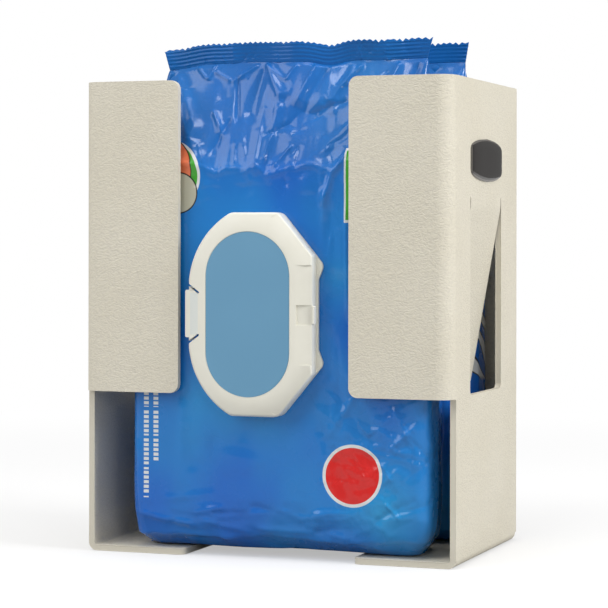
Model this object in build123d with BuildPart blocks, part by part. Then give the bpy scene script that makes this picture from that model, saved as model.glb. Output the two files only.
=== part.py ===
from build123d import *
import math
import os

# Wall dispenser bent from one plastic sheet, loaded with two soft packs of folded cloths.
# X to the right, +Y to the wall, Z up from the floor flanges. Sizes in millimetres.

# Sheet holder, with the inner radius of each bend
sheet = 3.2
holder_h = 254.0
front_inner_r = 5.8
back_inner_r = 3.8
floor_inner_r = 1.4
flange_w = 55.9
flange_base_z = 87.2
flange_corner_r = 5.0
wall_setback = 8.0
floor_flange_w = 55.9
floor_corner_r = 4.0
floor_relief = 1.5

# Keyhole slots for two wall screws
keyhole_pitch = 101.6
keyhole_drop = 34.0
keyhole_r = 4.75
keyhole_neck_r = 2.4
keyhole_rise = 9.0

# Spring tongues cut in the side walls, hinged at their top edge
slot_front = 34.0
slot_w = 61.6
slot_base_z = 87.7
tongue_root_z = 189.5
slot_corner_r = 3.0
kerf = 1.2
kerf_over_root = 2.4
tongue_angle = 10.0
tongue_root_gap = 0.3
tongue_corner_r = 2.5

# Domed badge on the right wall
badge_w = 61.4
badge_h = 23.0
badge_side_h = 16.0
badge_drop = 42.4
badge_corner_r = 3.0
badge_plate_t = 0.5
badge_dome_t = 1.1
badge_dome_edge = 0.8
badge_dome_margin = 0.5

# Stack of cloths, 12 by 8 inches, folded once to 6 by 8 inches
cloth_w = 152.4
cloth_h = 203.2
stack_t = 51.4
stack_corner_r = 7.0

# Soft pack: a gusseted film pouch crimped at both ends, with a fin seam at its back
film = 0.8
stack_gap = 0.5
stack_side_gap = 4.5
pack_corner_r = 14.0
pack_foot_edge = 6.0
head_room = 1.0
taper_h = 52.8
tuck_depth = 20.0
tuck_start = 0.5
tuck_root_w = 48.0
tuck_seal_w = 0.6
seal_root_t = 2.4
top_seal_w = 153.6
top_seal_h = 12.0
seal_t = 1.0
tooth_pitch = 3.1
tooth_h = 1.5
foot_seal_d = 11.0
fin_w = 12.0
fin_base = 10.0

# Room round the packs in the holder
rest_gap = 0.3
side_play = 2.8
front_room = 2.8
middle_room = 0.5
back_room = 6.6
tongue_clearance = 0.6

# Flip-top closure, glued to the front of a pack over its mouth
closure_offset = -8.6
closure_rise = 125.5
bond_t = 0.3
closure_h = 9.0
lid_h = 5.3
hinge_gap = 0.2
wall_t = 1.5
plate_t = 1.2
closure_half_h = 53.6
crown_left = 9.5
crown_right = 17.0
lid_left = 33.4
lid_side_z = 18.0
lid_shoulder = (24.6, 40.6)
lid_hinge_x = 36.0
hinge_land = 1.0
waist_z = 18.5
ear_proud = 3.0
ear_z = 26.0
crown_r = 6.0
ear_r = 4.0
lid_end_r = 2.5
lid_top_t = 1.6
lid_edge = 0.9
lid_fall = 0.8
hip_w = 9.0
side_hip_w = 5.0
tab_proud = 2.0
tab_half = 12.6
tab_drop = 0.5
tab_slit = 1.3
tab_slit_angle = 36.0
tab_depth = 7.6
mouth_w = 36.0
mouth_h = 74.0
spout_t = 1.6
spout_gap = 1.6
film_mouth_margin = 1.5
label_w = 47.0
label_h = 87.0
label_recess = 0.4
label_gap = 0.2
label_t = 0.3
spring_w = 9.4
spring_recess = 8.6
spring_recess_d = 1.0
spring_t = 1.2
spring_gap = 0.5
spring_foot = 1.0
tuft_gap = 4.0
tuft_reach = 4.0

# How near an edge or a corner must be to its place to be picked for a fillet
pick = 0.1

# Packs from the sizes above
pack_w = cloth_w + 2 * (stack_side_gap + film)
pack_t = stack_t + 2 * (stack_gap + film)
pack_base_z = sheet + rest_gap + film
stack_base_z = pack_base_z + film + rest_gap
shoulder_z = stack_base_z + cloth_h + head_room
seal_base_z = shoulder_z + taper_h
closure_z = pack_base_z + closure_rise
pack_depth_used = bond_t + closure_h
waist_x = lid_hinge_x + hinge_land
ear_x = waist_x + ear_proud
tab_reach = lid_left + tab_proud
base_h = closure_h - lid_h - hinge_gap
spout_h = closure_h - lid_top_t - spout_gap
tuft_w = mouth_w - 2 * tuft_gap
tuft_h = mouth_h - 2 * tuft_gap
badge_z = holder_h - badge_drop

# Tongues, and how far each reaches in from its wall
slot_h = tongue_root_z - slot_base_z
tongue_w = slot_w - 2 * kerf
tongue_axis_z = tongue_root_z - tongue_root_gap - sheet / 2
tongue_len = tongue_axis_z - slot_base_z - kerf
tongue_a = math.radians(tongue_angle)
tongue_reach = tongue_len * math.sin(tongue_a) + sheet / 2 * (math.cos(tongue_a) - 1)

# The holder takes two packs, one behind the other, between its tongues
holder_w = pack_w + side_play + 2 * (tongue_clearance + tongue_reach + sheet)
holder_d = 2 * (pack_t + film + sheet) + front_room + middle_room + back_room + pack_depth_used
front_bend_r = sheet + front_inner_r
back_bend_r = sheet + back_inner_r
floor_bend_r = sheet + floor_inner_r
front_y = -holder_d / 2
back_y = holder_d / 2
wall_x = holder_w / 2
wall_front_y = front_y + wall_setback
floor_back_y = back_y - back_bend_r - floor_relief
flange_free_x = wall_x - flange_w
floor_free_x = wall_x - floor_flange_w
slot_y0 = front_y + slot_front
slot_y1 = slot_y0 + slot_w
tongue_axis_x = wall_x - sheet / 2
pack_x = wall_x - sheet - tongue_reach - tongue_clearance - pack_w / 2
closure_x = pack_x + closure_offset
front_pack_y = front_y + sheet + front_room
rear_pack_y = front_pack_y + pack_t + film + middle_room + pack_depth_used
packs = {"front": front_pack_y, "rear": rear_pack_y}

os.makedirs("parts", exist_ok=True)


def save(part, label):
    """Label a finished piece and write it."""
    part.label = label
    export_step(part, f"parts/{label}.step")


def sheet_ring(base, top):
    """Rounded plan of the bent sheet, from one height to another, closed all round."""
    with BuildPart() as ring:
        with BuildSketch(Plane.XY.offset(base)):
            Rectangle(holder_w, holder_d)
        extrude(amount=top - base)
        upright = ring.edges().filter_by(Axis.Z).group_by(Axis.Y)
        front_edges, back_edges = upright[0], upright[-1]
        fillet(front_edges, front_bend_r)
        fillet(back_edges, back_bend_r)
        with BuildSketch(Plane.XY.offset(base)) as inner:
            Rectangle(holder_w - 2 * sheet, holder_d - 2 * sheet)
            fillet(inner.vertices().group_by(Axis.Y)[0], front_inner_r)
            fillet(inner.vertices().group_by(Axis.Y)[-1], back_inner_r)
        extrude(amount=top - base, mode=Mode.SUBTRACT)
    return ring.part


# Holder shell: back panel, side walls, two front flanges and two floor flanges, all one sheet
with BuildPart() as holder_shell:
    add(sheet_ring(floor_bend_r, holder_h))
    # the front stands open between the flanges, and the walls are set back below them
    with Locations((0, front_y, holder_h / 2)):
        Box(2 * flange_free_x, 2 * wall_setback, holder_h, mode=Mode.SUBTRACT)
    with Locations((0, front_y, flange_base_z / 2)):
        Box(holder_w, 2 * wall_setback, flange_base_z, mode=Mode.SUBTRACT)
    # each wall turns in at its foot to make a floor flange
    for side in (-1, 1):
        with BuildSketch(Plane.XZ.offset(-wall_front_y)) as foot:
            with BuildLine():
                FilletPolyline(
                    [(side * floor_free_x, 0), (side * wall_x, 0), (side * wall_x, 2 * floor_bend_r)],
                    radius=floor_bend_r,
                )
                FilletPolyline(
                    [
                        (side * floor_free_x, sheet),
                        (side * (wall_x - sheet), sheet),
                        (side * (wall_x - sheet), 2 * floor_bend_r),
                    ],
                    radius=floor_inner_r,
                )
                Line((side * floor_free_x, 0), (side * floor_free_x, sheet))
                Line((side * wall_x, 2 * floor_bend_r), (side * (wall_x - sheet), 2 * floor_bend_r))
            make_face()
        extrude(amount=-(floor_back_y - wall_front_y))
    # the back panel runs down to the floor between the reliefs
    with BuildSketch(Plane.XY):
        with Locations((0, back_y - sheet / 2)):
            Rectangle(holder_w - 2 * back_bend_r, sheet)
    extrude(amount=2 * floor_bend_r)

# Rounded free corners of the four flanges, then the openings in the walls and the back
with BuildPart() as holder_finished:
    add(holder_shell.part)
    flange_free = (
        holder_finished.edges()
        .filter_by(Axis.Y)
        .filter_by(lambda e: abs(abs(e.center().X) - flange_free_x) < pick and e.center().Y < front_y + sheet)
    )
    fillet(flange_free, flange_corner_r)
    floor_free = (
        holder_finished.edges()
        .filter_by(Axis.Z)
        .filter_by(lambda e: abs(abs(e.center().X) - floor_free_x) < pick and e.center().Z < sheet)
    )
    fillet(floor_free, floor_corner_r)
    with BuildSketch(Plane.YZ) as slot:
        with Locations(((slot_y0 + slot_y1) / 2, slot_base_z + slot_h / 2)):
            Rectangle(slot_w, slot_h)
        fillet(slot.vertices().group_by(Axis.Y)[0], slot_corner_r)
        for y in (slot_y0 + kerf / 2, slot_y1 - kerf / 2):
            with Locations((y, tongue_root_z)):
                SlotOverall(2 * kerf_over_root, kerf, rotation=90)
    extrude(amount=holder_w, both=True, mode=Mode.SUBTRACT)
    with BuildSketch(Plane.XZ.offset(-back_y)) as keyholes:
        with Locations((0, holder_h - keyhole_drop)):
            with GridLocations(keyhole_pitch, 0, 2, 1):
                Circle(keyhole_r)
        with Locations((0, holder_h - keyhole_drop + keyhole_rise / 2)):
            with GridLocations(keyhole_pitch, 0, 2, 1):
                SlotCenterToCenter(keyhole_rise, 2 * keyhole_neck_r, rotation=90)
    extrude(amount=2 * sheet, mode=Mode.SUBTRACT)
save(holder_finished.part, "holder_shell")

# Spring tongues, at rest turned inward about their root in the middle of the wall
right_tongue_plane = Plane(
    origin=(tongue_axis_x, slot_y0 + kerf, tongue_axis_z),
    x_dir=(-math.sin(tongue_a), 0, -math.cos(tongue_a)),
    z_dir=(0, 1, 0),
)
with BuildPart() as right_tongue:
    with BuildSketch(right_tongue_plane):
        with Locations((tongue_len / 2, 0)):
            Rectangle(tongue_len, sheet)
        Circle(sheet / 2)
    extrude(amount=tongue_w)
    tip = right_tongue.faces().sort_by(Axis.Z)[0].edges().filter_by(lambda e: e.length < 2 * sheet)
    fillet(tip, tongue_corner_r)
save(right_tongue.part, "right_tongue")

with BuildPart() as left_tongue:
    mirror(right_tongue.part, about=Plane.YZ)
save(left_tongue.part, "left_tongue")


def badge_outline(base_x, margin):
    """Barrel outline with bowed top and bottom, standing on the right wall."""
    half_w = badge_w / 2 - margin
    half_h = badge_h / 2 - margin
    side = badge_side_h / 2 - margin
    plane = Plane(
        origin=(base_x, (slot_y0 + slot_y1) / 2, badge_z), x_dir=(0, 1, 0), z_dir=(1, 0, 0)
    )
    with BuildSketch(plane) as outline:
        with BuildLine():
            ThreePointArc((-half_w, side), (0, half_h), (half_w, side))
            Line((half_w, side), (half_w, -side))
            ThreePointArc((half_w, -side), (0, -half_h), (-half_w, -side))
            Line((-half_w, -side), (-half_w, side))
        make_face()
        fillet(outline.vertices(), badge_corner_r - margin)
    return outline.sketch


with BuildPart() as badge_plate:
    extrude(badge_outline(wall_x, 0), amount=badge_plate_t)
save(badge_plate.part, "badge_plate")

with BuildPart() as badge_dome:
    extrude(badge_outline(wall_x + badge_plate_t, badge_dome_margin), amount=badge_dome_t)
    chamfer(badge_dome.faces().sort_by(Axis.X)[-1].edges(), badge_dome_edge)
save(badge_dome.part, "badge_dome")


def taper_section(middle, full, narrow, base, top):
    """Upright profile, straight up to the shoulder and drawn together to the seal."""
    with BuildSketch() as section:
        with BuildLine():
            Polyline(
                (middle - full / 2, base),
                (middle - full / 2, shoulder_z),
                (middle - narrow / 2, top),
                (middle + narrow / 2, top),
                (middle + full / 2, shoulder_z),
                (middle + full / 2, base),
                close=True,
            )
        make_face()
    return section.sketch


def side_tucks(middle_y, inset, top):
    """Room outside the folded sides, from shoulder to seal: a slope that runs in, between two flaps."""
    half_root = tuck_root_w / 2 + inset
    half_seal = tuck_seal_w / 2 + inset
    outside = pack_w / 2 + film
    with BuildPart() as tucks:
        with BuildSketch(Plane.XZ):
            for side in (-1, 1):
                with BuildLine():
                    Polyline(
                        (pack_x + side * (pack_w / 2 - tuck_start - 2 * inset), shoulder_z),
                        (pack_x + side * outside, shoulder_z),
                        (pack_x + side * outside, top),
                        (pack_x + side * (top_seal_w / 2 - tuck_depth - 2 * inset), top),
                        close=True,
                    )
                make_face()
        extrude(amount=holder_d, both=True)
        with BuildSketch(Plane.YZ):
            with BuildLine():
                Polyline(
                    (middle_y - half_root, shoulder_z),
                    (middle_y - half_seal, top),
                    (middle_y + half_seal, top),
                    (middle_y + half_root, shoulder_z),
                    close=True,
                )
            make_face()
        extrude(amount=holder_w, both=True, mode=Mode.INTERSECT)
    return tucks.part


def pouch_form(y, inset):
    """Full pouch outline, taken in all round by the film's thickness where asked."""
    width = pack_w - 2 * inset
    depth = pack_t - 2 * inset
    base = pack_base_z + inset
    top = seal_base_z - inset
    middle_y = y + pack_t / 2
    with BuildPart() as form:
        with BuildSketch(Plane.XY.offset(base)):
            with Locations((pack_x, middle_y)):
                RectangleRounded(width, depth, pack_corner_r - inset)
        extrude(amount=top - base)
        chamfer(form.faces().sort_by(Axis.Z)[0].edges(), pack_foot_edge - inset)
        # above the cloths the front and the back lean together to the crimped seal
        with BuildSketch(Plane.YZ):
            add(taper_section(middle_y, depth, seal_root_t - 2 * inset, base, top))
        extrude(amount=holder_w, both=True, mode=Mode.INTERSECT)
        with BuildSketch(Plane.XZ):
            add(taper_section(pack_x, width, top_seal_w - 2 * inset, base, top))
        extrude(amount=holder_d, both=True, mode=Mode.INTERSECT)
        # and each side folds in between them, deeper towards the seal
        add(side_tucks(middle_y, inset, top), mode=Mode.SUBTRACT)
    return form.part


def closure_plane(y, height):
    """Plane that faces out of a pack's front, at a height above the closure's glued face."""
    return Plane(
        origin=(closure_x, y - bond_t - height, closure_z), x_dir=(1, 0, 0), z_dir=(0, -1, 0)
    )


def closure_outline(plane, inset=0):
    """Octagon with two round shoulders on its left and two ears beside the hinge."""
    round_x, round_z = lid_shoulder
    with BuildSketch(plane) as outline:
        with BuildLine():
            Polyline(
                (-crown_left, closure_half_h),
                (crown_right, closure_half_h),
                (ear_x, ear_z),
                (waist_x, waist_z),
                (waist_x, -waist_z),
                (ear_x, -ear_z),
                (crown_right, -closure_half_h),
                (-crown_left, -closure_half_h),
            )
            ThreePointArc(
                (-crown_left, -closure_half_h), (-round_x, -round_z), (-lid_left, -lid_side_z)
            )
            Line((-lid_left, -lid_side_z), (-lid_left, lid_side_z))
            ThreePointArc(
                (-lid_left, lid_side_z), (-round_x, round_z), (-crown_left, closure_half_h)
            )
        make_face()
        crown = outline.vertices().filter_by(lambda v: abs(v.Y) > closure_half_h - pick)
        fillet(crown, crown_r)
        side = outline.vertices().filter_by(lambda v: v.X < pick - lid_left)
        fillet(side, crown_r)
        ears = outline.vertices().filter_by(lambda v: v.X > ear_x - pick)
        fillet(ears, ear_r)
        if inset:
            offset(amount=-inset)
    return outline.sketch


def lid_outline(plane, inset=0):
    """The closure's outline, cut off straight along the hinge."""
    edge_x = lid_hinge_x - inset
    with BuildSketch(plane) as outline:
        add(closure_outline(Plane.XY, inset))
        with Locations((edge_x + ear_x, 0)):
            Rectangle(2 * ear_x, 4 * closure_half_h, mode=Mode.SUBTRACT)
        ends = outline.vertices().filter_by(lambda v: v.X > edge_x - pick)
        fillet(ends, lid_end_r)
    return outline.sketch


def stadium(plane, width, height):
    """Upright slot outline with half-round ends."""
    with BuildSketch(plane) as outline:
        SlotOverall(height, width, rotation=90)
    return outline.sketch


def hip_wedge(y, start, end, width, fall):
    """Wedge that takes the lid's face down to one straight edge, which runs from start to end."""
    (x0, z0), (x1, z1) = start, end
    length = math.hypot(x1 - x0, z1 - z0)
    along = ((x1 - x0) / length, (z1 - z0) / length)
    plane = Plane(
        origin=(closure_x + x0, y - bond_t - closure_h, closure_z + z0),
        x_dir=(-along[1], 0, along[0]),
        z_dir=(along[0], 0, along[1]),
    )
    slope = fall / width
    with BuildSketch(plane) as section:
        with BuildLine():
            Polyline((width, 0), (-width, 0), (-width, -2 * width * slope), close=True)
        make_face()
    with BuildPart() as wedge:
        extrude(section.sketch, amount=length)
    return wedge.part


# The lid's hinge edge and the slant edges beside it, each with the width of its sloping band
hips = (
    ((lid_hinge_x, -ear_z), (lid_hinge_x, ear_z), hip_w),
    ((crown_right, -closure_half_h), (ear_x, -ear_z), side_hip_w),
    ((ear_x, ear_z), (crown_right, closure_half_h), side_hip_w),
)

for name, y in packs.items():
    middle_y = y + pack_t / 2

    # Film pouch: hollow, with an upright mouth in its front face
    with BuildPart() as pouch:
        add(pouch_form(y, 0))
        add(pouch_form(y, film), mode=Mode.SUBTRACT)
        mouth_plane = Plane(
            origin=(closure_x, y + 2 * film, closure_z), x_dir=(1, 0, 0), z_dir=(0, -1, 0)
        )
        mouth = stadium(mouth_plane, mouth_w + 2 * film_mouth_margin, mouth_h + 2 * film_mouth_margin)
        extrude(mouth, amount=4 * film, mode=Mode.SUBTRACT)
    save(pouch.part, f"{name}_pouch")

    # Crimped top seal with its sawn edge
    teeth = int(top_seal_w / tooth_pitch)
    seal_x0 = pack_x - top_seal_w / 2
    tooth_w = top_seal_w / teeth
    root_z = seal_base_z + top_seal_h - tooth_h
    with BuildPart() as top_seal:
        with BuildSketch(Plane.XZ.offset(-middle_y)):
            with BuildLine():
                edge = [(seal_x0, root_z)]
                for tooth in range(teeth):
                    edge.append((seal_x0 + (tooth + 0.5) * tooth_w, root_z + tooth_h))
                    edge.append((seal_x0 + (tooth + 1) * tooth_w, root_z))
                Polyline(*edge)
                Polyline(
                    edge[-1],
                    (seal_x0 + top_seal_w, seal_base_z),
                    (seal_x0, seal_base_z),
                    edge[0],
                )
            make_face()
        extrude(amount=seal_t / 2, both=True)
    save(top_seal.part, f"{name}_top_seal")

    # Crimped bottom seal, folded flat under the pack
    with BuildPart() as bottom_seal:
        with BuildSketch(Plane.XY.offset(sheet + rest_gap)):
            with Locations((pack_x, middle_y)):
                Rectangle(top_seal_w, foot_seal_d)
        extrude(amount=film)
    save(bottom_seal.part, f"{name}_bottom_seal")

    # Fin seam laid flat down the back
    with BuildPart() as back_seam:
        with BuildSketch(Plane.XY.offset(pack_base_z + fin_base)):
            with Locations((pack_x, y + pack_t + film / 2)):
                Rectangle(fin_w, film)
        extrude(amount=shoulder_z - pack_base_z - fin_base)
    save(back_seam.part, f"{name}_back_seam")

    # Stack of folded cloths inside the pouch
    with BuildPart() as cloth_stack:
        with BuildSketch(Plane.XY.offset(stack_base_z)):
            with Locations((pack_x, middle_y)):
                RectangleRounded(cloth_w, stack_t, stack_corner_r)
        extrude(amount=cloth_h)
        chamfer(cloth_stack.faces().sort_by(Axis.Z)[0].edges(), pack_foot_edge - film)
    save(cloth_stack.part, f"{name}_cloth_stack")

    # First cloth, drawn up into the mouth
    tuft_base = -(film + stack_gap + bond_t)
    with BuildPart() as first_cloth:
        extrude(stadium(closure_plane(y, tuft_base), tuft_w, tuft_h), amount=tuft_reach)
    save(first_cloth.part, f"{name}_first_cloth")

    # Ring of adhesive between film and closure
    with BuildPart() as bond_ring:
        extrude(closure_outline(closure_plane(y, -bond_t)), amount=bond_t)
        ring_mouth = stadium(
            closure_plane(y, -bond_t), mouth_w + 2 * film_mouth_margin, mouth_h + 2 * film_mouth_margin
        )
        extrude(ring_mouth, amount=bond_t, mode=Mode.SUBTRACT)
        with Locations((closure_x - lid_left, y, closure_z)):
            Box(2 * tab_depth, 4 * closure_h, 2 * lid_side_z, mode=Mode.SUBTRACT)
    save(bond_ring.part, f"{name}_bond_ring")

    # Closure base: ears, skirt up to the lid, and a spout round the mouth
    with BuildPart() as closure_base:
        extrude(closure_outline(closure_plane(y, 0)), amount=plate_t)
        extrude(lid_outline(closure_plane(y, 0)), amount=base_h)
        extrude(lid_outline(closure_plane(y, plate_t), wall_t), amount=base_h, mode=Mode.SUBTRACT)
        spout = stadium(closure_plane(y, 0), mouth_w + 2 * spout_t, mouth_h + 2 * spout_t)
        extrude(spout, amount=spout_h)
        extrude(stadium(closure_plane(y, 0), mouth_w, mouth_h), amount=spout_h, mode=Mode.SUBTRACT)
        # the film shows under the lid's tab, so the base is cut away there
        with Locations((closure_x - lid_left, y, closure_z)):
            Box(2 * tab_depth, 4 * closure_h, 2 * lid_side_z, mode=Mode.SUBTRACT)
    save(closure_base.part, f"{name}_closure_base")

    # Lid: a shallow tray, with a lift tab freed by two slits and a seat for the label
    with BuildPart() as lid:
        lid_low = base_h + hinge_gap
        extrude(lid_outline(closure_plane(y, lid_low)), amount=lid_h)
        chamfer(lid.faces().sort_by(Axis.Y)[0].edges(), lid_edge)
        for start, end, width in hips:
            add(hip_wedge(y, start, end, width, lid_fall * width / hip_w), mode=Mode.SUBTRACT)
        with BuildSketch(closure_plane(y, lid_low)):
            with Locations((-tab_reach + tab_depth / 2, 0)):
                RectangleRounded(tab_depth, 2 * tab_half, lid_edge)
        extrude(amount=lid_h - tab_drop)
        hollow = lid_outline(closure_plane(y, lid_low), wall_t)
        extrude(hollow, amount=lid_h - lid_top_t, mode=Mode.SUBTRACT)
        # the tab's face is lower than the lid's
        with BuildSketch(closure_plane(y, closure_h - tab_drop)):
            with Locations((-tab_reach + (tab_depth - wall_t) / 2, 0)):
                Rectangle(tab_depth - wall_t, 2 * tab_half)
        extrude(amount=2 * tab_drop, mode=Mode.SUBTRACT)
        with BuildSketch(closure_plane(y, 0)):
            for side in (-1, 1):
                with Locations((-tab_reach + tab_depth / 2, side * (tab_half + tab_slit))):
                    SlotOverall(tab_depth + 2 * tab_slit, tab_slit, rotation=-side * tab_slit_angle)
        extrude(amount=2 * closure_h, mode=Mode.SUBTRACT)
        seat_plane = closure_plane(y, closure_h - label_recess)
        extrude(
            stadium(seat_plane, label_w + 2 * label_gap, label_h + 2 * label_gap),
            amount=2 * label_recess,
            mode=Mode.SUBTRACT,
        )
        with BuildSketch(closure_plane(y, closure_h - spring_recess_d)):
            with Locations((lid_hinge_x, 0)):
                Rectangle(2 * spring_recess, spring_w + 2 * spring_gap)
        extrude(amount=2 * spring_recess_d, mode=Mode.SUBTRACT)
    save(lid.part, f"{name}_lid")

    # Oval label seated in the lid
    with BuildPart() as lid_label:
        extrude(stadium(seat_plane, label_w, label_h), amount=label_t)
    save(lid_label.part, f"{name}_lid_label")

    # Snap spring: a strap that bows across the middle of the hinge line
    with BuildPart() as snap_spring:
        with BuildSketch(closure_plane(y, lid_low + spring_foot)):
            with Locations((lid_hinge_x + spring_t / 2, 0)):
                Rectangle(spring_t, spring_w)
        extrude(amount=lid_h - spring_foot - spring_gap)
    save(snap_spring.part, f"{name}_snap_spring")
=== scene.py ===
import math

import bmesh
import bpy
import numpy as np
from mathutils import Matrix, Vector


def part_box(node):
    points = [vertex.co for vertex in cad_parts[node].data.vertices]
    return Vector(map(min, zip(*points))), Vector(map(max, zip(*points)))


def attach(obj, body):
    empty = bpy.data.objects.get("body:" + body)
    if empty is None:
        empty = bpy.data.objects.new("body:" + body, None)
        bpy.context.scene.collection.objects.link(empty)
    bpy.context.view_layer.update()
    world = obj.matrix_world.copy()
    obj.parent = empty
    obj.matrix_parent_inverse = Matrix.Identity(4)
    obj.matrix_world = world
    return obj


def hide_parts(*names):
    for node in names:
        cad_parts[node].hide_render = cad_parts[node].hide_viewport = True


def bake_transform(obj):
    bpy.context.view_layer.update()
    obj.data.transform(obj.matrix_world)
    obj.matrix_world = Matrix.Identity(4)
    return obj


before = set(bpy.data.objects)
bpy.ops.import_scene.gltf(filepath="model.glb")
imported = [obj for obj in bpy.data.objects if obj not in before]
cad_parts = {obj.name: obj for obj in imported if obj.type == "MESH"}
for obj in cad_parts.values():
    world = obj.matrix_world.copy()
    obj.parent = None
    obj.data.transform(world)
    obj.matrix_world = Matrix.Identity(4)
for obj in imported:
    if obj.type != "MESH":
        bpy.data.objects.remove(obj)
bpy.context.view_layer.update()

# Bent sheet holder. One plastic sheet with a leather grain on both faces, bent hot into a back, two walls,
# two front flanges and two floor flanges. Its cut edges are smooth and its corners are eased with a file.

MM = 0.001


def box_of(node):
    """Lowest and highest corners of a CAD piece at rest, in millimetres."""
    return [np.array(corner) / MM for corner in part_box(node)]


SHEET = 3.2
HOLDER_LO, HOLDER_HI = box_of("holder_shell")
FRONT_BEND_R = 9.0
BACK_BEND_R = 7.0
FLOOR_BEND_R = 4.6
EASED_EDGE = 0.4
SHARP_EDGE = math.radians(32)
SHEET_COLOUR = (0.745, 0.700, 0.585, 1)
# Colour of the grain's low places: painted shade
SHEET_VALLEY_SHADE = (0.690, 0.648, 0.550, 1)
CUT_EDGE_COLOUR = (0.690, 0.650, 0.550, 1)


class Value:
    """A shader socket used in Python expressions: each operator adds the Math node that works it out."""

    def __init__(self, socket):
        self.socket = socket

    def add(self, kind, inputs, output=0, **settings):
        """Another node in the same tree: its settings first, then the values or links of its sockets."""
        tree = self.socket.id_data
        node = tree.nodes.new(kind)
        for name, setting in settings.items():
            setattr(node, name, setting)
        for key, value in inputs.items():
            if isinstance(value, Value):
                tree.links.new(value.socket, node.inputs[key])
            else:
                node.inputs[key].default_value = value
        return Value(node.outputs[output])

    def math(self, operation, *others):
        return self.add("ShaderNodeMath", dict(enumerate((self, *others))), operation=operation)

    def __add__(self, other):
        return self.math("ADD", other)

    def __sub__(self, other):
        return self.math("SUBTRACT", other)

    def __rsub__(self, other):
        return self.add("ShaderNodeMath", {0: other, 1: self}, operation="SUBTRACT")

    def __mul__(self, other):
        return self.math("MULTIPLY", other)

    def __truediv__(self, other):
        return self.math("DIVIDE", other)

    def __abs__(self):
        return self.math("ABSOLUTE")

    __radd__ = __add__
    __rmul__ = __mul__

    def least(self, other):
        return self.math("MINIMUM", other)

    def most(self, other):
        return self.math("MAXIMUM", other)

    def ramp(self, start, end):
        """Smooth rise from 0 where the value is start to 1 where it is end."""
        return self.add(
            "ShaderNodeMapRange", {0: self, 1: start, 2: end, 3: 0.0, 4: 1.0}, interpolation_type="SMOOTHSTEP"
        )

    def within(self, low, high, soft=0.15):
        """1 where the value lies between low and high, with soft ends."""
        return self.ramp(low - soft, low + soft) * self.ramp(high + soft, high - soft)

    def mix(self, low, high):
        """Colour low where the value is 0, and high where it is 1."""
        return self.add("ShaderNodeMix", {0: self, 6: low, 7: high}, output=2, data_type="RGBA")

    def times_colour(self, colour):
        return self.add(
            "ShaderNodeMix", {0: 1.0, 6: self, 7: colour}, output=2, data_type="RGBA", blend_type="MULTIPLY"
        )

    def noise(self, size, detail=2.0, roughness=0.5, stretch=(1, 1, 1)):
        """Noise on this vector, with features about size millimetres across."""
        scaled = self.add(
            "ShaderNodeVectorMath", {0: self, 1: tuple(s / size for s in stretch)}, operation="MULTIPLY"
        )
        return scaled.add(
            "ShaderNodeTexNoise", {"Vector": scaled, "Scale": 1.0, "Detail": detail, "Roughness": roughness}
        )

    def bump(self, distance, strength=1.0):
        """Normal that this height, in units of distance millimetres, gives the surface."""
        return self.add("ShaderNodeBump", {"Height": self, "Distance": distance * MM, "Strength": strength})


def new_finish(name):
    """Material with one Principled shader, and the place on the piece in millimetres, whole and by axis."""
    material = bpy.data.materials.new(name)
    material.use_nodes = True
    tree = material.node_tree
    shader = tree.nodes["Principled BSDF"]
    place = Value(tree.nodes.new("ShaderNodeTexCoord").outputs["Object"])
    place = place.add("ShaderNodeVectorMath", {0: place, 3: 1 / MM}, operation="SCALE")
    axes = place.add("ShaderNodeSeparateXYZ", {0: place}).socket.node
    return material, shader, place, [Value(axes.outputs[i]) for i in range(3)]


def finish_with(shader, **inputs):
    """Set or link the shader's sockets, named with underscores for spaces."""
    for name, value in inputs.items():
        socket = shader.inputs[name.replace("_", " ")]
        if isinstance(value, Value):
            shader.id_data.links.new(value.socket, socket)
        else:
            socket.default_value = value


def inside_rounded(u, v, half_u, half_v, radius):
    """Depth inside a rounded rectangle about the origin: 0 on its outline, more towards its middle."""
    du = abs(u) - (half_u - radius)
    dv = abs(v) - (half_v - radius)
    outer_u, outer_v = du.most(0.0), dv.most(0.0)
    corner = (outer_u * outer_u + outer_v * outer_v).math("SQRT")
    return radius - corner - du.most(dv).least(0.0)


def grained_sheet(name, depth_of):
    """Leather-grained sheet: crossed wrinkles on both faces, and none where the depth shows a cut edge."""
    material, shader, place, (x, y, z) = new_finish(name)
    depth = depth_of(x, y, z)
    cut = abs(depth - SHEET / 2).ramp(SHEET / 2 - 0.15, SHEET / 2 - 0.6)
    warp = place.noise(7.0, 2.0)
    warped = place.add("ShaderNodeVectorMath", {0: place, 1: warp * 5.0}, operation="ADD")
    wrinkles = warped.noise(2.1, 2.0, 0.55, stretch=(0.6, 0.6, 1.4))
    pebbles = warped.noise(1.15, 2.0, 0.6, stretch=(0.75, 0.75, 1.3))
    valleys = (1 - abs(wrinkles - 0.5) * 9.0).most(0.0)
    grain = (pebbles * 1.2 - valleys * 0.2) * (1 - cut)
    # The grain's low places are a little darker: painted shade in its valleys.
    skin = grain.ramp(0.25, 0.7).mix(SHEET_VALLEY_SHADE, SHEET_COLOUR)
    aged = place.noise(46.0, 2.0).ramp(0.3, 0.75).mix((0.965, 0.96, 0.945, 1), (1, 1, 1, 1))
    saw = place.noise(0.5, 1.0, stretch=(1, 1, 0.12)) * cut
    finish_with(
        shader,
        Base_Color=cut.mix(skin, CUT_EDGE_COLOUR).times_colour(aged),
        Roughness=0.6 - grain.ramp(0.0, 1.0) * 0.1,
        Specular_IOR_Level=0.4,
        Normal=(saw * 0.16 + grain).bump(0.27),
    )
    return material


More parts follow.
